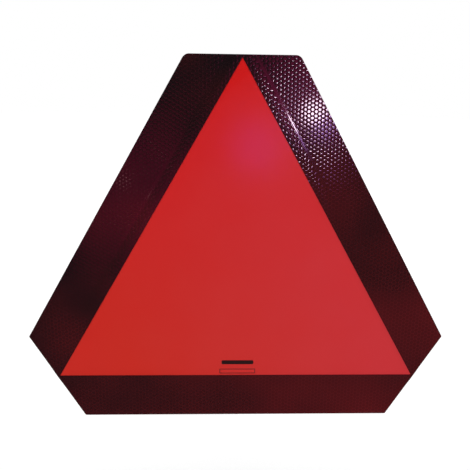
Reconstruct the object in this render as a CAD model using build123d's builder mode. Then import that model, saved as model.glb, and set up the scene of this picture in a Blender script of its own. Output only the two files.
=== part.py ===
# A slow moving vehicle sign: a flat aluminium plate faced with a fluorescent triangle and, round it,
# three strips of reflective sheeting that lap over the triangle's edges.
#
# The sign stands upright with its apex up. Its front looks towards -Y, +X is to the right of a person
# who faces it, and +Z is up. The origin is the centre of the triangle, on the plate's back face, which
# is the face that goes against the vehicle. All sizes are in millimetres.
from build123d import *
from math import sqrt
import os

# The visible fluorescent triangle and the reflective border round it.
triangle_side = 355.0
border_width = 45.0

# Each point of the outline is cut off square, this far beyond the visible triangle's own point.
corner_setback = 2.5
apex_corner_radius = 7.0
base_corner_radius = 2.0

# The plate, which is sheared from sheet and has its back edges dulled.
plate_thickness = 1.5
edge_break = 0.2

# The two kinds of film. The fluorescent film runs under the strips as far as the lap, and each strip
# comes down from it to the plate along a shallow ramp, which the film's edge makes.
fluorescent_thickness = 0.4
strip_thickness = 0.4
film_lap = 5.0
ramp_width = 6.6

# Distances from the triangle's centre, in the plane of the sign.
side_distance = triangle_side / (2 * sqrt(3))
point_distance = triangle_side / sqrt(3)
film_edge_distance = side_distance + film_lap
ramp_foot_distance = film_edge_distance + ramp_width
plate_edge_distance = side_distance + border_width
cut_distance = point_distance + corner_setback
mitre_half_length = plate_edge_distance * sqrt(3)

# Heights above the plate's back face, towards the front.
film_top = plate_thickness + fluorescent_thickness
strip_low_top = plate_thickness + strip_thickness
strip_high_top = film_top + strip_thickness

# The sides that carry a strip, in turn about the centre from the bottom of the sign.
sides = ["bottom", "left", "right"]
degrees_per_side = 360 / len(sides)

front = Vector(0, -1, 0)


def triangle(distance, rotation=90, mode=Mode.ADD):
    """An equilateral triangle about the centre, whose sides are the given distance from it."""
    return RegularPolygon(distance, 3, major_radius=False, rotation=rotation, align=None, mode=mode)


# The outline of the plate: a large triangle with its three points cut off by a smaller one, upside down.
with BuildSketch(Plane.XZ) as outline:
    triangle(plate_edge_distance)
    triangle(cut_distance, rotation=-90, mode=Mode.INTERSECT)
    fillet(outline.vertices().sort_by(Axis.Y)[:-2], base_corner_radius)
    fillet(outline.vertices().sort_by(Axis.Y)[-2:], apex_corner_radius)

with BuildPart() as backing_plate:
    extrude(outline.sketch, amount=plate_thickness)
    back_face = backing_plate.faces().sort_by(Axis.Y)[-1]
    chamfer(back_face.edges(), edge_break)
backing_plate.part.label = "backing_plate"

with BuildPart() as fluorescent_triangle:
    with BuildSketch(Plane.XZ.offset(plate_thickness)):
        add(outline.sketch_local)
        triangle(film_edge_distance, mode=Mode.INTERSECT)
    extrude(amount=fluorescent_thickness)
fluorescent_triangle.part.label = "fluorescent_triangle"


def reflective_strip(side):
    """One strip of the border: its section drawn across it, run along it and cut to its mitred plan."""
    outward = Vector(0, 0, -1).rotate(Axis.Y, sides.index(side) * degrees_per_side)
    across = Plane(origin=(0, 0, 0), x_dir=outward, z_dir=outward.cross(front))
    with BuildPart() as strip:
        with BuildSketch(across):
            with BuildLine():
                Polyline(
                    (side_distance, film_top),
                    (film_edge_distance, film_top),
                    (film_edge_distance, plate_thickness),
                    (plate_edge_distance, plate_thickness),
                    (plate_edge_distance, strip_low_top),
                    (ramp_foot_distance, strip_low_top),
                    (film_edge_distance, strip_high_top),
                    (side_distance, strip_high_top),
                    close=True,
                )
            make_face()
        extrude(amount=cut_distance, both=True)
        along = Plane(origin=(0, 0, 0), x_dir=outward, z_dir=front)
        with BuildSketch(along):
            with BuildLine():
                Polyline(
                    (0, 0),
                    (plate_edge_distance, -mitre_half_length),
                    (plate_edge_distance, mitre_half_length),
                    close=True,
                )
            make_face()
        extrude(amount=strip_high_top, mode=Mode.INTERSECT)
        extrude(outline.sketch, amount=strip_high_top, mode=Mode.INTERSECT)
    strip.part.label = f"reflective_strip_{side}"
    return strip.part


strips = [reflective_strip(side) for side in sides]

os.makedirs("parts", exist_ok=True)
for piece in [backing_plate.part, fluorescent_triangle.part, *strips]:
    export_step(piece, f"parts/{piece.label}.step")
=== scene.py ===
"""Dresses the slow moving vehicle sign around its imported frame.

The sign is an aluminium plate faced with a fluorescent triangle and three strips of reflective sheeting.
The plate and the triangle keep their solids and get their finishes here. Each strip is modelled anew, with
a low pillow over every cell of its honeycomb, in the place of its plain solid.

Sizes are in millimetres until a mesh, a lamp or the camera is placed, which is in metres.
"""

from __future__ import annotations

import logging
import math
from dataclasses import dataclass, field
from enum import Enum

import bmesh
import bpy
from bmesh.types import BMesh, BMVert
from mathutils import Matrix, Quaternion, Vector


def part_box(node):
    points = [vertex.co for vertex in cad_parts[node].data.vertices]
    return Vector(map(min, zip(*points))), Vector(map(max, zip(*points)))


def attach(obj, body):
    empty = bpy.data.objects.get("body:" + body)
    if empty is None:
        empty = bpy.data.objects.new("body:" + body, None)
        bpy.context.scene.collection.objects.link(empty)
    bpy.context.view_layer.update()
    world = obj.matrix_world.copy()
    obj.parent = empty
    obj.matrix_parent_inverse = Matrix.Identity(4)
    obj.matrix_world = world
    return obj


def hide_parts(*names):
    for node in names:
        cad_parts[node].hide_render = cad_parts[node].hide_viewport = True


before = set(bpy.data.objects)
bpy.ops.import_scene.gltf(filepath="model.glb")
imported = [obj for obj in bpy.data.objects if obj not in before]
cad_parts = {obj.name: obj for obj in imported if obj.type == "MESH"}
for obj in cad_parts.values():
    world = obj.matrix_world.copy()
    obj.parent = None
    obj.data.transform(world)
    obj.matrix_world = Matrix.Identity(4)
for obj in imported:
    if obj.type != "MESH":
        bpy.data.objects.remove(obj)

MM = 0.001
BODY = "root"
FRONT = Vector((0, -1, 0))
POINT_ANGLE = math.radians(60)
WHITE = (1.0, 1.0, 1.0, 1.0)

log = logging.getLogger("sign")


def srgb(red: float, green: float, blue: float) -> tuple[float, float, float, float]:
    """Turns a colour seen on screen, from 0 to 255, into a shader's linear colour, by the sRGB curve.

    Args:
        red: The red channel.
        green: The green channel.
        blue: The blue channel.

    Returns:
        The linear colour with full alpha.
    """
    linear = [
        value / 12.92 if value <= 0.04045 else ((value + 0.055) / 1.055) ** 2.4
        for value in (red / 255, green / 255, blue / 255)
    ]
    return linear[0], linear[1], linear[2], 1.0


class Side(Enum):
    """A side of the triangle: its name, its turn from the bottom in degrees, and its end at the apex."""

    BOTTOM = ("bottom", 0, 0)
    LEFT = ("left", 120, 1)
    RIGHT = ("right", 240, -1)

    @property
    def node(self) -> str:
        """The CAD node of the strip on this side."""
        return f"reflective_strip_{self.value[0]}"

    @property
    def apex_end(self) -> int:
        """Which way along the strip the apex lies: 1, -1, or 0 where neither end is there."""
        return self.value[2]

    def placing(self) -> Matrix:
        """The placing of a strip drawn with X along it, Y out from the centre and Z to the front.

        Returns:
            The matrix from those millimetres to the sign's metres.
        """
        turn = math.radians(self.value[1])
        outward = Vector((-math.sin(turn), 0, -math.cos(turn)))
        along = outward.cross(FRONT)
        axes = Matrix((along, outward, FRONT)).transposed()
        return axes.to_4x4() @ Matrix.Scale(MM, 4)


@dataclass(frozen=True)
class SignSizes:
    """Where the solids put the sign's lines and faces, from its centre and up from the plate's back."""

    side_line: float
    film_edge: float
    plate_edge: float
    cut_line: float
    plate_front: float
    film_top: float
    strip_top: float

    @classmethod
    def read(cls) -> SignSizes:
        """Reads the lines and faces from the boxes of the solids.

        Returns:
            The sizes, in millimetres.
        """
        plate_low, plate_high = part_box("backing_plate")
        film_low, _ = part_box("fluorescent_triangle")
        strip_low, strip_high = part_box(Side.BOTTOM.node)
        film_top = -film_low.y / MM
        plate_front = -plate_low.y / MM
        strip_thickness = -strip_low.y / MM - film_top
        return cls(
            side_line=-strip_high.z / MM,
            film_edge=-film_low.z / MM,
            plate_edge=-strip_low.z / MM,
            cut_line=plate_high.z / MM,
            plate_front=plate_front,
            film_top=film_top,
            strip_top=plate_front + strip_thickness,
        )


@dataclass
class NodeCanvas:
    """A material or world whose shader nodes are laid and linked one by one."""

    USUAL_NOISE = (0.3, 0.7)
    MIX_FIRST, MIX_SECOND, MIX_RESULT = 6, 7, 2  # the Mix node's sockets for colours

    tree: bpy.types.NodeTree

    @classmethod
    def cleared(cls, owner: bpy.types.Material | bpy.types.World) -> NodeCanvas:
        """Takes the nodes out of a material or world.

        Args:
            owner: The material or world.

        Returns:
            Its empty canvas.
        """
        owner.use_nodes = True
        owner.node_tree.nodes.clear()
        return cls(owner.node_tree)

    def add(self, kind: str, **settings: object) -> bpy.types.Node:
        """Adds a node and sets its properties.

        Args:
            kind: The node's type, without its ShaderNode prefix.
            settings: The node's own properties.

        Returns:
            The new node.
        """
        node = self.tree.nodes.new(f"ShaderNode{kind}")
        for name, value in settings.items():
            setattr(node, name, value)
        return node

    def link(self, source: bpy.types.NodeSocket, target: bpy.types.NodeSocket) -> None:
        """Links an output socket to an input socket."""
        self.tree.links.new(source, target)

    def noise(
        self, grain: float, detail: float = 2.0, stretch: tuple = (1, 1, 1), shift: tuple = (0, 0, 0)
    ) -> bpy.types.NodeSocket:
        """A noise pattern on the object's own coordinates.

        Args:
            grain: The size of one blot, in millimetres.
            detail: How many finer layers it has.
            stretch: How many times longer its blots are along each axis.
            shift: How far the pattern is moved, in millimetres, to lay its blots elsewhere.

        Returns:
            The noise's value.
        """
        place = self.add("TexCoord").outputs["Object"]
        mapping = self.add("Mapping")
        mapping.inputs["Scale"].default_value = [1 / length for length in stretch]
        mapping.inputs["Location"].default_value = [move * MM for move in shift]
        self.link(place, mapping.inputs["Vector"])
        noise = self.add("TexNoise")
        noise.inputs["Scale"].default_value = 1 / (grain * MM)
        noise.inputs["Detail"].default_value = detail
        self.link(mapping.outputs["Vector"], noise.inputs["Vector"])
        return noise.outputs["Fac"]

    def ramp(self, direction: tuple, start: float, end: float, power: float = 1.0) -> bpy.types.NodeSocket:
        """A value that goes from 0 to 1 across the object.

        Args:
            direction: The way it rises.
            start: How far along that way it leaves 0, in millimetres from the origin.
            end: How far along it reaches 1.
            power: Less than 1 makes it rise early, more than 1 late.

        Returns:
            The value.
        """
        along = self.add("VectorMath", operation="DOT_PRODUCT")
        along.inputs[1].default_value = Vector(direction).normalized()
        self.link(self.add("TexCoord").outputs["Object"], along.inputs[0])
        share = self.add("MapRange")
        share.inputs["From Min"].default_value = start * MM
        share.inputs["From Max"].default_value = end * MM
        self.link(along.outputs["Value"], share.inputs["Value"])
        raised = self.add("Math", operation="POWER")
        raised.inputs[1].default_value = power
        self.link(share.outputs["Result"], raised.inputs[0])
        return raised.outputs["Value"]

    def sum(self, first: bpy.types.NodeSocket, second: bpy.types.NodeSocket) -> bpy.types.NodeSocket:
        """Adds two values and keeps the sum between 0 and 1."""
        total = self.add("Math", operation="ADD", use_clamp=True)
        self.link(first, total.inputs[0])
        self.link(second, total.inputs[1])
        return total.outputs["Value"]

    def spread(self, value: bpy.types.NodeSocket, low: float, high: float) -> bpy.types.NodeSocket:
        """Spreads a noise's usual values over a range of their own.

        Args:
            value: The noise.
            low: What its low values become.
            high: What its high values become.

        Returns:
            The spread value.
        """
        spread = self.add("MapRange")
        spread.inputs["From Min"].default_value, spread.inputs["From Max"].default_value = self.USUAL_NOISE
        spread.inputs["To Min"].default_value = low
        spread.inputs["To Max"].default_value = high
        self.link(value, spread.inputs["Value"])
        return spread.outputs["Result"]

    def mix(
        self,
        factor: bpy.types.NodeSocket,
        first: tuple | bpy.types.NodeSocket,
        second: tuple | bpy.types.NodeSocket,
    ) -> bpy.types.NodeSocket:
        """Mixes two colours.

        Args:
            factor: How much of the second there is.
            first: A colour, or the socket that gives one.
            second: A colour, or the socket that gives one.

        Returns:
            The mixed colour.
        """
        mix = self.add("Mix", data_type="RGBA")
        self.link(factor, mix.inputs["Factor"])
        for colour, number in ((first, self.MIX_FIRST), (second, self.MIX_SECOND)):
            if isinstance(colour, bpy.types.NodeSocket):
                self.link(colour, mix.inputs[number])
            else:
                mix.inputs[number].default_value = colour
        return mix.outputs[self.MIX_RESULT]

    def bump(self, height: bpy.types.NodeSocket, depth: float) -> bpy.types.NodeSocket:
        """A bump from a height pattern.

        Args:
            height: The pattern, from 0 to 1.
            depth: How deep it goes, in millimetres.

        Returns:
            The bent normal.
        """
        bump = self.add("Bump")
        bump.inputs["Distance"].default_value = depth * MM
        self.link(height, bump.inputs["Height"])
        return bump.outputs["Normal"]


class Finish:
    """A surface finish, made as one material."""

    name = "finish"

    def material(self) -> bpy.types.Material:
        """Makes the material.

        Returns:
            The material, with its shader nodes linked.
        """
        material = bpy.data.materials.new(self.name)
        canvas = NodeCanvas.cleared(material)
        shader = canvas.add("BsdfPrincipled")
        output = canvas.add("OutputMaterial")
        canvas.link(shader.outputs["BSDF"], output.inputs["Surface"])
        self.dress(canvas, shader)
        return material

    def dress(self, canvas: NodeCanvas, shader: bpy.types.Node) -> None:
        """Sets the shader for this finish."""
        raise NotImplementedError


@dataclass(frozen=True)
class FluorescentFilm(Finish):
    """Smooth fluorescent film under a thin clear layer. Its colour holds a painted reflection: the red is
    deeper near the apex and grows pale towards the lower right and pink towards the upper right, standing in
    for the lamps' tinted reflections.
    """

    name = "fluorescent_film"
    # the film's deep red, and two tones of it with painted reflection in them: pale towards the lower right,
    # pink towards the upper right
    deeper: tuple = srgb(207, 22, 17)
    paler_painted_reflection: tuple = srgb(208, 45, 32)
    pinker_painted_reflection: tuple = srgb(209, 49, 54)
    # the ramps along which the painted reflection grows, in millimetres from the centre
    reflection_paling_way: tuple = (0.6, 0.0, -0.8)
    reflection_paling_start: float = -150.0
    reflection_paling_end: float = 130.0
    reflection_paling_power: float = 0.5
    reflection_pinking_way: tuple = (0.86, 0.0, 0.51)
    reflection_pinking_start: float = -135.0
    reflection_pinking_end: float = 75.0
    blotch: float = 45.0
    blotch_strength: float = 0.07
    orange_peel: float = 1.6
    peel_depth: float = 0.003
    roughness: tuple = (0.36, 0.42)
    gloss: float = 0.1
    clear_weight: float = 0.3
    clear_roughness: float = 0.15

    def dress(self, canvas: NodeCanvas, shader: bpy.types.Node) -> None:
        """Sets the colour, with its painted reflection and random blotches, and the gloss and fine
        unevenness of the film.
        """
        blotches = canvas.noise(self.blotch, detail=3)
        # painted reflection: the red grows pale towards the lower right, with random blotches mixed in, and
        # pink towards the upper right
        reflection_paling_and_blotches = canvas.sum(
            canvas.ramp(self.reflection_paling_way, self.reflection_paling_start, self.reflection_paling_end, power=self.reflection_paling_power),
            canvas.spread(blotches, -self.blotch_strength, self.blotch_strength),
        )
        reflection_pinking = canvas.ramp(self.reflection_pinking_way, self.reflection_pinking_start, self.reflection_pinking_end)
        # pale: the film's red with the painted reflection in it
        pale = canvas.mix(reflection_pinking, self.paler_painted_reflection, self.pinker_painted_reflection)
        canvas.link(canvas.mix(reflection_paling_and_blotches, self.deeper, pale), shader.inputs["Base Color"])
        canvas.link(canvas.spread(blotches, *self.roughness), shader.inputs["Roughness"])
        peel = canvas.noise(self.orange_peel, detail=1)
        canvas.link(canvas.bump(peel, self.peel_depth), shader.inputs["Normal"])
        shader.inputs["Specular IOR Level"].default_value = self.gloss
        shader.inputs["Coat Weight"].default_value = self.clear_weight
        shader.inputs["Coat Roughness"].default_value = self.clear_roughness


@dataclass(frozen=True)
class ReflectiveSheeting(Finish):
    """Dark red honeycomb sheeting: a clear glossy face over softly shining cells with redder walls. Its
    colour holds painted light and shade: darker towards the upper left and redder towards the lower right,
    as its shine changes with how the light falls.
    """

    name = "reflective_sheeting"
    # shaded and lit copies of the cells' and walls' colours: painted shade towards the upper left, painted
    # light towards the lower right
    shaded_cell: tuple = srgb(21, 12, 13)
    lit_cell: tuple = srgb(84, 18, 20)
    shaded_wall: tuple = srgb(30, 14, 15)
    lit_wall: tuple = srgb(112, 27, 29)
    # the ramp of the painted light and shade, in millimetres from the centre
    painted_light_way: tuple = (0.62, 0.0, -0.78)
    painted_light_start: float = -192.0
    painted_light_end: float = 312.0
    patch: float = 80.0
    patch_strength: float = 0.2
    patch_shift: tuple = (3110.0, 540.0, 3580.0)
    bead: float = 0.35
    bead_strength: float = 0.15
    roughness: float = 0.15
    gloss: float = 0.2
    gloss_tint: tuple = (0.9, 0.5, 1.0, 1.0)
    face_roughness: float = 0.05

    def dress(self, canvas: NodeCanvas, shader: bpy.types.Node) -> None:
        """Sets the cells' and walls' colours, with painted light and shade across the strips, their soft
        tinted gloss and the clear face over them.
        """
        patches = canvas.noise(self.patch, detail=1, shift=self.patch_shift)
        # painted light and shade from a ramp across the sign, with random patches mixed in
        painted_light_and_patches = canvas.sum(
            canvas.ramp(self.painted_light_way, self.painted_light_start, self.painted_light_end),
            canvas.spread(patches, -self.patch_strength, self.patch_strength),
        )
        cells = canvas.mix(painted_light_and_patches, self.shaded_cell, self.lit_cell)
        walls = canvas.mix(painted_light_and_patches, self.shaded_wall, self.lit_wall)
        wall_share = canvas.sum(
            canvas.add("Attribute", attribute_name=HoneycombStrip.WALL_ATTRIBUTE).outputs["Fac"],
            canvas.spread(canvas.noise(self.bead, detail=0), -self.bead_strength, self.bead_strength),
        )
        canvas.link(canvas.mix(wall_share, cells, walls), shader.inputs["Base Color"])
        shader.inputs["Roughness"].default_value = self.roughness
        shader.inputs["Specular IOR Level"].default_value = self.gloss
        shader.inputs["Specular Tint"].default_value = self.gloss_tint
        shader.inputs["Coat Weight"].default_value = 1.0
        shader.inputs["Coat Roughness"].default_value = self.face_roughness


@dataclass(frozen=True)
class MillAluminium(Finish):
    """Aluminium sheet as it leaves the mill, with a rolling grain along the sign's width."""

    name = "plate_aluminium"
    colour: tuple = srgb(212, 214, 216)
    duller: tuple = srgb(199, 202, 205)
    streak: float = 2.2
    streak_length: float = 90.0
    streak_tone: tuple = srgb(203, 205, 208)
    grain: float = 0.35
    grain_length: float = 60.0
    cloud: float = 28.0
    cloud_length: float = 5.0
    grain_depth: float = 0.003
    roughness: tuple = (0.3, 0.46)

    def dress(self, canvas: NodeCanvas, shader: bpy.types.Node) -> None:
        """Sets the metal's colour, and a roughness and bump that follow the rolling grain."""
        clouds = canvas.noise(self.cloud, detail=4, stretch=(self.cloud_length, 1, 1))
        streaks = canvas.noise(self.streak, detail=2, stretch=(self.streak_length, 1, 1))
        sheet = canvas.mix(canvas.spread(streaks, 0, 1), self.colour, self.streak_tone)
        canvas.link(canvas.mix(canvas.spread(clouds, 0, 1), sheet, self.duller), shader.inputs["Base Color"])
        lines = canvas.noise(self.grain, detail=3, stretch=(self.grain_length, 1, 1))
        canvas.link(canvas.spread(lines, *self.roughness), shader.inputs["Roughness"])
        canvas.link(canvas.bump(lines, self.grain_depth), shader.inputs["Normal"])
        shader.inputs["Metallic"].default_value = 1.0


@dataclass(frozen=True)
class PrintInk(Finish):
    """Black screen ink on the film."""

    name = "print_ink"
    colour: tuple = srgb(30, 14, 14)
    thinner: tuple = srgb(52, 16, 16)
    speckle: float = 0.5
    roughness: float = 0.4

    def dress(self, canvas: NodeCanvas, shader: bpy.types.Node) -> None:
        """Sets a black that is a little thin in places."""
        speckles = canvas.spread(canvas.noise(self.speckle), 0, 1)
        canvas.link(canvas.mix(speckles, self.colour, self.thinner), shader.inputs["Base Color"])
        shader.inputs["Roughness"].default_value = self.roughness


def smooth_step(value: float, start: float, end: float) -> float:
    """Goes smoothly from 0 to 1 as the value goes from start to end.

    Args:
        value: Where it is asked.
        start: Where it leaves 0.
        end: Where it reaches 1.

    Returns:
        The step's height, from 0 to 1.
    """
    share = min(max((value - start) / (end - start), 0.0), 1.0)
    return share * share * (3 - 2 * share)


def bend(past: float, width: float) -> float:
    """How far a straight slope of 1 has risen that starts with a round bend.

    Args:
        past: The distance past the middle of the bend.
        width: The width of the bend.

    Returns:
        0 before the bend, and the distance itself after it.
    """
    into = min(max(past + width / 2, 0.0), width)
    return into * into / (2 * width) + max(past - width / 2, 0.0)


def make_object(name: str, mesh: BMesh, material: bpy.types.Material) -> bpy.types.Object:
    """Makes an object of a finished mesh.

    Args:
        name: The object's name.
        mesh: Its mesh, already in its place in metres.
        material: Its finish.

    Returns:
        The new object, at the origin.
    """
    data = bpy.data.meshes.new(name)
    mesh.to_mesh(data)
    mesh.free()
    data.materials.append(material)
    made = bpy.data.objects.new(name, data)
    bpy.context.scene.collection.objects.link(made)
    return made


@dataclass
class HoneycombStrip:
    """One strip of reflective sheeting, with X along it, Y out from the centre and Z to the front."""

    WALL_ATTRIBUTE = "cell_wall"

    side: Side
    sizes: SignSizes
    pitch: float = 3.9
    rings: tuple = (1.66, 1.4, 1.15)  # from the cell's centre to the sides of its inner hexagons
    ring_chamfer: float = 0.36
    rim_bend: float = 0.118  # the slope gained in each millimetre towards a wall
    ramp_width: float = 6.6
    foot_crease: float = 2.0
    crease_lines: tuple = (-0.5, -0.25, 0.0, 0.25, 0.5)  # as shares of the crease's width
    crease_relief: float = 0.03  # the share of the pillows' depth that is left in the crease
    apex_corner_radius: float = 7.0
    base_corner_radius: float = 2.0
    corner_facets: int = 8
    sharp_angle: float = math.radians(30)
    wall_limit: float = 0.99
    snap: float = 0.002

    @property
    def cell_radius(self) -> float:
        """From a cell's centre to its corners."""
        return self.pitch / math.sqrt(3)

    def depth(self, place: Vector) -> float:
        """How far a cell's face lies below its flat middle, from which it bends down evenly to each wall.

        Args:
            place: Where in the cell.

        Returns:
            The depth.
        """
        turns = (-POINT_ANGLE, 0.0, POINT_ANGLE)
        towards_walls = (abs(place.y * math.cos(turn) + place.x * math.sin(turn)) for turn in turns)
        past_middle = max(max(towards_walls) - self.rings[-1], 0.0)
        return self.rim_bend * past_middle * past_middle / 2

    def draw_cell(self, mesh: BMesh) -> None:
        """Draws one cell: a hexagon of walls round a pillow with blunt corners.

        Args:
            mesh: The empty mesh that takes it.
        """
        wall = mesh.verts.layers.float.new(self.WALL_ATTRIBUTE)
        self.draw_hexagon(mesh, self.pitch / 2)
        for vert in mesh.verts:
            vert[wall] = 1.0
        rim = self.draw_hexagon(mesh, self.rings[0])
        bmesh.ops.bevel(
            mesh, geom=rim, offset=self.ring_chamfer, offset_type="OFFSET", affect="VERTICES", segments=1,
            profile=0.5, material=-1
        )
        ring = [edge for edge in mesh.edges if all(vert[wall] < 1 for vert in edge.verts)]
        bmesh.ops.bridge_loops(mesh, edges=mesh.edges[:])
        top = bmesh.ops.contextual_create(mesh, geom=ring)["faces"]
        for outer, inner in zip(self.rings, self.rings[1:]):
            bmesh.ops.inset_region(
                mesh, faces=top, thickness=outer - inner, use_boundary=True, use_even_offset=True
            )
        bmesh.ops.poke(mesh, faces=top)
        for vert in mesh.verts:
            vert.co.z = -self.depth(vert.co)

    @staticmethod
    def draw_hexagon(mesh: BMesh, wall_distance: float) -> list[BMVert]:
        """Draws a hexagon about the cell's centre, with two of its corners in line with the strip.

        Args:
            mesh: The mesh that takes it.
            wall_distance: From the centre to each side.

        Returns:
            Its corners.
        """
        corner_distance = wall_distance / math.cos(POINT_ANGLE / 2)
        turn = Matrix.Rotation(math.radians(90), 4, "Z")
        return bmesh.ops.create_circle(mesh, segments=6, radius=corner_distance, matrix=turn)["verts"]

    @staticmethod
    def repeat(mesh: BMesh, count: int, step: Vector) -> None:
        """Repeats all that the mesh holds.

        Args:
            mesh: The mesh.
            count: How many there are in the end.
            step: How far each lies from the last.
        """
        first = mesh.verts[:] + mesh.edges[:] + mesh.faces[:]
        for number in range(1, count):
            copy = bmesh.ops.duplicate(mesh, geom=first)["geom"]
            moved = [part for part in copy if isinstance(part, BMVert)]
            bmesh.ops.translate(mesh, verts=moved, vec=step * number)

    def lay_cells(self, mesh: BMesh) -> None:
        """Repeats the cell over more than the strip's width, cuts it, and repeats it past the strip's ends.

        Args:
            mesh: The mesh that holds one cell at its origin.
        """
        width = self.sizes.plate_edge - self.sizes.side_line
        column_step = 1.5 * self.cell_radius
        column_pairs = math.ceil(self.sizes.cut_line / column_step) + 1
        self.repeat(mesh, math.ceil(width / self.pitch) + 2, Vector((0, self.pitch, 0)))
        self.repeat(mesh, 2, Vector((column_step, -self.pitch / 2, 0)))
        start = Vector((-column_pairs * column_step, self.sizes.side_line, 0))
        bmesh.ops.translate(mesh, verts=mesh.verts[:], vec=start)
        self.cut_width(mesh)
        self.repeat(mesh, column_pairs, Vector((2 * column_step, 0, 0)))
        bmesh.ops.remove_doubles(mesh, verts=mesh.verts[:], dist=self.snap)

    def cut(
        self, mesh: BMesh, point: Vector, outwards: Vector, clear: bool = True, part: tuple = ()
    ) -> tuple:
        """Cuts the mesh along a plane.

        Args:
            mesh: The mesh.
            point: A point on the plane.
            outwards: The plane's normal, towards what goes.
            clear: Whether that side goes, or is only parted by an edge.
            part: The vertices, edges and faces to cut, or all of them where there are none.

        Returns:
            What is left of them.
        """
        cut = bmesh.ops.bisect_plane(
            mesh, geom=list(part) or mesh.verts[:] + mesh.edges[:] + mesh.faces[:], dist=self.snap,
            plane_co=point, plane_no=outwards, clear_outer=clear
        )
        return tuple(cut["geom"])

    def cut_width(self, mesh: BMesh) -> None:
        """Cuts the cells to the strip's width, and parts them along the creases beside the film's edge.

        Args:
            mesh: Two columns of cells across the strip.
        """
        sizes = self.sizes
        outwards = Vector((0, 1, 0))
        self.cut(mesh, Vector((0, sizes.side_line, 0)), -outwards)
        self.cut(mesh, Vector((0, sizes.plate_edge, 0)), outwards)
        ramp_foot = sizes.film_edge + self.ramp_width
        creases = [ramp_foot + share * self.foot_crease for share in self.crease_lines]
        for line in (sizes.film_edge, *creases):
            self.cut(mesh, Vector((0, line, 0)), outwards, clear=False)

    def cut_ends(self, mesh: BMesh) -> None:
        """Mitres the strip's ends, and rounds the corners where they meet the sign's cut points.

        Args:
            mesh: The mesh of cells.
        """
        sizes = self.sizes
        for end in (-1, 1):
            radius = self.apex_corner_radius if end == self.side.apex_end else self.base_corner_radius
            self.cut(mesh, Vector(), Vector((end * math.cos(POINT_ANGLE), -math.sin(POINT_ANGLE), 0)))
            centre_y = sizes.plate_edge - radius
            centre_x = (sizes.cut_line - radius - centre_y * math.cos(POINT_ANGLE)) / math.sin(POINT_ANGLE)
            centre = Vector((end * centre_x, centre_y, 0))
            faces = [face for face in mesh.faces if end * face.verts[0].co.x > centre_x - self.pitch]
            corner = {part for face in faces for part in (face, *face.edges, *face.verts)}
            for facet in range(1, self.corner_facets + 1):
                angle = POINT_ANGLE * facet / self.corner_facets
                normal = Vector((end * math.sin(angle), math.cos(angle), 0))
                corner = self.cut(mesh, centre + radius * normal, normal, part=corner)

    def shape_face(self, mesh: BMesh) -> None:
        """Lifts the cells to the strip's face, which comes down a ramp beside the film's edge.

        Args:
            mesh: The mesh of cells, cut to the outline.
        """
        sizes = self.sizes
        film_thickness = sizes.film_top - sizes.plate_front
        for vert in mesh.verts:
            past_edge = vert.co.y - sizes.film_edge
            past_foot = past_edge - self.ramp_width
            fall = (max(past_edge, 0.0) - bend(past_foot, self.foot_crease)) / self.ramp_width
            crease = smooth_step(self.foot_crease - abs(past_foot), 0.0, self.foot_crease / 2)
            relief = 1 - (1 - self.crease_relief) * crease
            vert.co.z = sizes.strip_top + film_thickness * (1 - fall) + vert.co.z * relief

    def close(self, mesh: BMesh) -> None:
        """Gives the strip its edges, and an underside that steps over the edge of the film.

        Args:
            mesh: The mesh of the strip's face.
        """
        sizes = self.sizes
        rim = [edge for edge in mesh.edges if edge.is_boundary]
        skirt = bmesh.ops.extrude_edge_only(mesh, edges=rim)["geom"]
        foot = [part for part in skirt if isinstance(part, BMVert)]
        for vert in foot:
            is_on_film = vert.co.y < sizes.film_edge + self.snap
            vert.co.z = sizes.film_top if is_on_film else sizes.plate_front
        heels = [vert for vert in foot if abs(vert.co.y - sizes.film_edge) < self.snap]
        drops = bmesh.ops.extrude_vert_indiv(mesh, verts=heels)["verts"]
        for drop in drops:
            drop.co.z = sizes.plate_front
        bmesh.ops.contextual_create(mesh, geom=heels + drops)
        for heel, drop in zip(heels, drops):
            beyond = next(
                vert for vert in self.neighbours(heel)
                if vert in foot and vert.co.z < sizes.film_top - self.snap
            )
            bmesh.ops.contextual_create(mesh, geom=[heel, drop, beyond])
        open_edges = [edge for edge in mesh.edges if edge.is_boundary]
        bmesh.ops.holes_fill(mesh, edges=open_edges, sides=0)
        bmesh.ops.recalc_face_normals(mesh, faces=mesh.faces[:])

    @staticmethod
    def neighbours(vert: BMVert) -> list[BMVert]:
        """The vertices that share an edge with this one."""
        return [edge.other_vert(vert) for edge in vert.link_edges]

    def smooth(self, mesh: BMesh) -> None:
        """Smooths every pillow, up to the groove along each wall, the film's edge and the strip's edges.

        Args:
            mesh: The closed mesh.
        """
        wall = mesh.verts.layers.float[self.WALL_ATTRIBUTE]
        for face in mesh.faces:
            face.smooth = True
        for edge in mesh.edges:
            is_groove = all(vert[wall] > self.wall_limit for vert in edge.verts)
            is_on_edge = all(abs(vert.co.y - self.sizes.film_edge) < self.snap for vert in edge.verts)
            edge.smooth = not (is_groove or is_on_edge) and edge.calc_face_angle(math.pi) < self.sharp_angle

    def build(self, material: bpy.types.Material) -> bpy.types.Object:
        """Makes the strip in its place on the sign.

        Args:
            material: The sheeting's finish.

        Returns:
            The strip, which stands for its plain solid.
        """
        mesh = bmesh.new()
        self.draw_cell(mesh)
        self.lay_cells(mesh)
        self.cut_ends(mesh)
        self.shape_face(mesh)
        self.close(mesh)
        self.smooth(mesh)
        faces, volume = len(mesh.faces), mesh.calc_volume(signed=True)
        open_edges = sum(1 for edge in mesh.edges if not edge.is_manifold)
        log.info("%s: %d faces, %d open edges, %.0f mm3", self.side.node, faces, open_edges, volume)
        bmesh.ops.transform(mesh, matrix=self.side.placing(), verts=mesh.verts[:])
        piece = make_object(f"{self.side.node}_honeycomb", mesh, material)
        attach(piece, BODY)
        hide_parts(self.side.node)
        return piece


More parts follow.
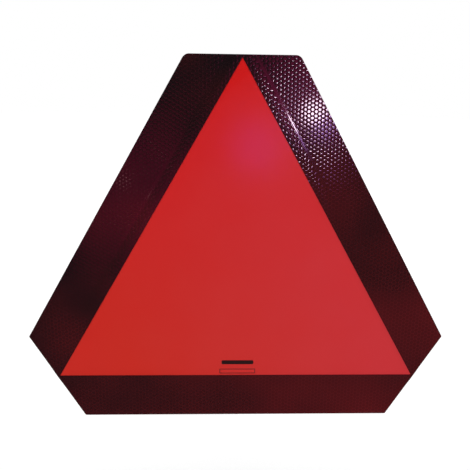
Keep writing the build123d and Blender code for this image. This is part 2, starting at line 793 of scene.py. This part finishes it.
@dataclass
class PrintedMark:
    """A plain mark in black ink near the triangle's base: an empty outlined box with a bar above it."""

    sizes: SignSizes
    box_size: tuple = (36.0, 5.2)
    box_line: float = 0.7
    box_height_above_base: float = 4.4
    bar_size: tuple = (32.0, 4.4)
    bar_height_above_base: float = 14.2
    bar_corner: float = 1.2
    bar_corner_facets: int = 5
    ink: float = 0.02

    def draw_rectangle(self, mesh: BMesh, size: tuple, height_above_base: float) -> list[BMVert]:
        """Draws a flat rectangle on the film, on the sign's centre line.

        Args:
            mesh: The mesh that takes it.
            size: Its width and height.
            height_above_base: How far its middle lies above the triangle's base line.

        Returns:
            Its corners.
        """
        middle = Matrix.Translation((0, height_above_base - self.sizes.side_line, self.sizes.film_top))
        placing = middle @ Matrix.Diagonal((size[0] / 2, size[1] / 2, 1, 1))
        return bmesh.ops.create_grid(mesh, x_segments=1, y_segments=1, size=1, matrix=placing)["verts"]

    def build(self, material: bpy.types.Material) -> bpy.types.Object:
        """Makes the mark as a thin layer on the film.

        Args:
            material: The ink.

        Returns:
            The mark.
        """
        mesh = bmesh.new()
        self.draw_rectangle(mesh, self.box_size, self.box_height_above_base)
        panel = mesh.faces[:]
        bmesh.ops.inset_region(
            mesh, faces=panel, thickness=self.box_line, use_boundary=True, use_even_offset=True
        )
        bmesh.ops.delete(mesh, geom=panel, context="FACES_ONLY")
        bar = self.draw_rectangle(mesh, self.bar_size, self.bar_height_above_base)
        bmesh.ops.bevel(
            mesh, geom=bar, offset=self.bar_corner, offset_type="OFFSET", affect="VERTICES",
            segments=self.bar_corner_facets, profile=0.5, material=-1
        )
        layer = bmesh.ops.extrude_face_region(mesh, geom=mesh.faces[:])["geom"]
        top = [part for part in layer if isinstance(part, BMVert)]
        bmesh.ops.translate(mesh, verts=top, vec=(0, 0, self.ink))
        bmesh.ops.recalc_face_normals(mesh, faces=mesh.faces[:])
        upright = Matrix.Rotation(math.radians(90), 4, "X") @ Matrix.Scale(MM, 4)
        bmesh.ops.transform(mesh, matrix=upright, verts=mesh.verts[:])
        piece = make_object("printed_mark", mesh, material)
        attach(piece, BODY)
        log.info("printed_mark: %d faces", len(piece.data.polygons))
        return piece


@dataclass(frozen=True)
class Eye:
    """The camera: where it stands, how it is turned and its lens."""

    place: tuple = (-23.0, -522.4, 189.4)
    turn_right: float = 2.05
    tilt_down: float = 15.54
    roll: float = 0.85
    lens: float = 43.88
    sensor: float = 36.0
    nearest: float = 10.0

    @property
    def position(self) -> Vector:
        """Where it stands, in millimetres."""
        return Vector(self.place)

    def build(self) -> bpy.types.Object:
        """Makes the camera and gives it to the scene.

        Returns:
            The camera.
        """
        turn, tilt = math.radians(self.turn_right), math.radians(self.tilt_down)
        ahead = Vector((math.sin(turn) * math.cos(tilt), math.cos(turn) * math.cos(tilt), -math.sin(tilt)))
        data = bpy.data.cameras.new("camera")
        data.lens = self.lens
        data.sensor_width = self.sensor
        data.clip_start = self.nearest * MM
        camera = bpy.data.objects.new("camera", data)
        camera.location = self.position * MM
        camera.rotation_mode = "QUATERNION"
        rolled = Quaternion((0, 0, 1), math.radians(self.roll))
        camera.rotation_quaternion = ahead.to_track_quat("-Z", "Y") @ rolled
        bpy.context.scene.collection.objects.link(camera)
        bpy.context.scene.camera = camera
        return camera


@dataclass(frozen=True)
class Lamp:
    """A round area lamp that is aimed at a point."""

    name: str
    place: Vector
    aim: Vector
    width: float
    radiance: float
    colour: tuple = (1.0, 1.0, 1.0)
    only_on: tuple = ()

    def build(self) -> bpy.types.Object:
        """Makes the lamp, at the brightness that gives its face the radiance asked for.

        Returns:
            The lamp.
        """
        data = bpy.data.lights.new(self.name, "AREA")
        data.shape = "DISK"
        data.size = self.width * MM
        face_area = math.pi * (data.size / 2) ** 2
        data.energy = self.radiance * math.pi * face_area
        data.color = self.colour
        lamp = bpy.data.objects.new(self.name, data)
        lamp.location = self.place * MM
        lamp.rotation_mode = "QUATERNION"
        lamp.rotation_quaternion = (self.aim - self.place).to_track_quat("-Z", "Y")
        lamp.visible_camera = False
        if self.only_on:
            lit = bpy.data.collections.new(f"{self.name}_lit")
            for node in self.only_on:
                lit.objects.link(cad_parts[node])
            lamp.light_linking.receiver_collection = lit
        bpy.context.scene.collection.objects.link(lamp)
        return lamp


@dataclass
class Studio:
    """A pale room: the floor, the surroundings and the lamps."""

    sizes: SignSizes
    eye: Eye = field(default_factory=Eye)
    floor_drop: float = 260.0
    floor_radius: float = 9000.0
    floor_facets: int = 64
    floor_colour: tuple = (0.8, 0.8, 0.8, 1.0)
    whitening_start: float = 600.0
    whitening_end: float = 3000.0
    whitening: tuple = (0.2, 0.75)
    room_grey: tuple = (0.5, 0.5, 0.5, 1.0)
    pale_wall: tuple = (0.85, 0.85, 0.85, 1.0)
    dim_wall: tuple = (0.04, 0.035, 0.04, 1.0)
    dim_way: tuple = (0.0, -1.0, -0.25)
    dim_angle: float = math.radians(75)
    dimmest_angle: float = math.radians(50)
    glint_place: tuple = (65.0, 159.0)
    fringe_place: tuple = (75.0, 146.0)
    haze_place: tuple = (70.0, 188.0)
    haze_angle: float = math.radians(7)
    haze: tuple = (1.15, 0.04, 0.28, 1.0)
    left_glint_place: tuple = (-107.0, 95.0)
    left_haze_place: tuple = (-94.0, 88.0)
    left_haze_angle: float = math.radians(9.5)
    left_haze: tuple = (0.6, 0.02, 0.12, 1.0)
    glow_place: tuple = (15.0, 128.0)
    glint_distance: float = 1500.0
    fringe_setback: float = 5.0

    def on_face(self, place: tuple) -> Vector:
        """The point of the strips' face at this X and Z."""
        return Vector((place[0], -self.sizes.strip_top, place[1]))

    def glint_way(self, place: tuple) -> Vector:
        """The way in which the face mirrors the camera's sight.

        Args:
            place: Where on the face, as X and Z.

        Returns:
            The direction, of length 1.
        """
        return (self.on_face(place) - self.eye.position).normalized().reflect(FRONT)

    def mirrored(self, place: tuple, setback: float = 0.0) -> Vector:
        """Where a lamp stands whose reflection the camera sees at this place on the face.

        Args:
            place: The place, as X and Z.
            setback: How much farther off it stands than the others.

        Returns:
            The lamp's place.
        """
        return self.on_face(place) + self.glint_way(place) * (self.glint_distance + setback)

    def build_glints(self) -> None:
        """Makes the lamps that glint in the films: a bright one, its violet fringe and two faint ones."""
        bright_point, left_point = self.on_face(self.glint_place), self.on_face(self.left_glint_place)
        Lamp(
            "glint_lamp", place=self.mirrored(self.glint_place), aim=bright_point,
            width=80.0, radiance=32.0, colour=(1.0, 0.82, 0.97)
        ).build()
        Lamp(
            "glint_fringe", place=self.mirrored(self.fringe_place, self.fringe_setback), aim=bright_point,
            width=85.0, radiance=5.4, colour=(0.55, 0.32, 1.0)
        ).build()
        Lamp(
            "left_glint", place=self.mirrored(self.left_glint_place), aim=left_point,
            width=18.0, radiance=5.0, colour=(1.0, 0.5, 0.5)
        ).build()
        Lamp(
            "violet_lamp", place=self.mirrored(self.glow_place), aim=bright_point,
            width=175.0, radiance=5.5, colour=(0.02, 0.14, 1.0), only_on=("fluorescent_triangle",)
        ).build()

    def build_soft_lamps(self) -> None:
        """Makes the large soft lamps round the room, all aimed at the sign's centre."""
        centre = Vector()
        Lamp("soft_left", place=Vector((-1900, -1100, 1100)), aim=centre, width=1100.0, radiance=6.5).build()
        Lamp("soft_right", place=Vector((1900, -1100, 1300)), aim=centre, width=1100.0, radiance=6.5).build()
        Lamp("soft_top", place=Vector((0, -900, 2200)), aim=centre, width=1200.0, radiance=5.2).build()
        Lamp("back_left", place=Vector((-1700, 1500, 1300)), aim=centre, width=1100.0, radiance=4.0).build()
        Lamp("back_right", place=Vector((1700, 1500, 900)), aim=centre, width=1100.0, radiance=3.0).build()

    @staticmethod
    def share_towards(canvas: NodeCanvas, way: Vector, outer: float, inner: float) -> bpy.types.NodeSocket:
        """How far a direction of the surroundings lies inside a soft cone.

        Args:
            canvas: The world.
            way: The cone's axis.
            outer: The angle from it at which the share is 0.
            inner: The angle at which it is 1.

        Returns:
            The share, from 0 to 1.
        """
        towards = canvas.add("VectorMath", operation="DOT_PRODUCT")
        towards.inputs[1].default_value = way.normalized()
        canvas.link(canvas.add("TexCoord").outputs["Generated"], towards.inputs[0])
        share = canvas.add("MapRange", interpolation_type="SMOOTHSTEP")
        share.inputs["From Min"].default_value = math.cos(outer)
        share.inputs["From Max"].default_value = math.cos(inner)
        canvas.link(towards.outputs["Value"], share.inputs["Value"])
        return share.outputs["Result"]

    def build_world(self) -> None:
        """Makes the surroundings: white to the camera, pale to other rays, and dim or hazy behind it."""
        world = bpy.data.worlds.new("surroundings")
        canvas = NodeCanvas.cleared(world)
        dim = self.share_towards(canvas, Vector(self.dim_way), self.dim_angle, self.dimmest_angle)
        haze_way, left_haze_way = self.glint_way(self.haze_place), self.glint_way(self.left_haze_place)
        hazy = self.share_towards(canvas, haze_way, self.haze_angle, 0.0)
        left_hazy = self.share_towards(canvas, left_haze_way, self.left_haze_angle, 0.0)
        rays = canvas.add("LightPath").outputs
        seen = canvas.mix(rays["Is Glossy Ray"], self.room_grey, self.pale_wall)
        room = canvas.mix(hazy, canvas.mix(dim, seen, self.dim_wall), self.haze)
        room = canvas.mix(left_hazy, room, self.left_haze)
        background = canvas.add("Background")
        canvas.link(canvas.mix(rays["Is Camera Ray"], room, WHITE), background.inputs["Color"])
        output = canvas.add("OutputWorld")
        canvas.link(background.outputs["Background"], output.inputs["Surface"])
        bpy.context.scene.world = world

    def floor_material(self) -> bpy.types.Material:
        """Makes the floor's matt finish, which whitens with the distance from the sign to the camera alone.

        Returns:
            The material.
        """
        material = bpy.data.materials.new("floor")
        canvas = NodeCanvas.cleared(material)
        matt = canvas.add("BsdfDiffuse")
        matt.inputs["Color"].default_value = self.floor_colour
        distance = canvas.add("VectorMath", operation="LENGTH")
        canvas.link(canvas.add("TexCoord").outputs["Object"], distance.inputs[0])
        whitening = canvas.add("MapRange")
        whitening.inputs["From Min"].default_value = self.whitening_start * MM
        whitening.inputs["From Max"].default_value = self.whitening_end * MM
        whitening.inputs["To Min"].default_value, whitening.inputs["To Max"].default_value = self.whitening
        canvas.link(distance.outputs["Value"], whitening.inputs["Value"])
        white = canvas.add("Emission")
        white.inputs["Color"].default_value = WHITE
        canvas.link(whitening.outputs["Result"], white.inputs["Strength"])
        whitened = canvas.add("AddShader")
        canvas.link(matt.outputs["BSDF"], whitened.inputs[0])
        canvas.link(white.outputs["Emission"], whitened.inputs[1])
        mix = canvas.add("MixShader")
        canvas.link(canvas.add("LightPath").outputs["Is Camera Ray"], mix.inputs["Fac"])
        canvas.link(matt.outputs["BSDF"], mix.inputs[1])
        canvas.link(whitened.outputs["Shader"], mix.inputs[2])
        output = canvas.add("OutputMaterial")
        canvas.link(mix.outputs["Shader"], output.inputs["Surface"])
        return material

    def build_floor(self) -> bpy.types.Object:
        """Makes the pale floor below the sign, which takes its soft shadow.

        Returns:
            The floor.
        """
        mesh = bmesh.new()
        level = Matrix.Translation((0, 0, -(self.sizes.plate_edge + self.floor_drop) * MM))
        bmesh.ops.create_circle(
            mesh, cap_ends=True, segments=self.floor_facets, radius=self.floor_radius * MM, matrix=level
        )
        floor = make_object("floor", mesh, self.floor_material())
        floor.visible_glossy = False
        return floor

    def build(self) -> None:
        """Makes the whole room and the camera."""
        self.eye.build()
        self.build_world()
        self.build_floor()
        self.build_glints()
        self.build_soft_lamps()
        bpy.context.scene.view_settings.view_transform = "Standard"


def dress_node(node: str, material: bpy.types.Material) -> None:
    """Gives a CAD node its finish.

    Args:
        node: The node's name.
        material: Its finish.
    """
    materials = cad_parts[node].data.materials
    materials.clear()
    materials.append(material)


def main() -> None:
    """Builds the sign's pieces, dresses its solids and lights the room."""
    logging.basicConfig(level=logging.INFO, format="%(name)s: %(message)s")
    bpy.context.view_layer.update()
    sizes = SignSizes.read()
    log.info("sizes %s", sizes)
    Studio(sizes).build()
    dress_node("backing_plate", MillAluminium().material())
    dress_node("fluorescent_triangle", FluorescentFilm().material())
    sheeting = ReflectiveSheeting().material()
    for side in Side:
        HoneycombStrip(side, sizes).build(sheeting)
    PrintedMark(sizes).build(PrintInk().material())


if __name__ == "__main__":
    main()
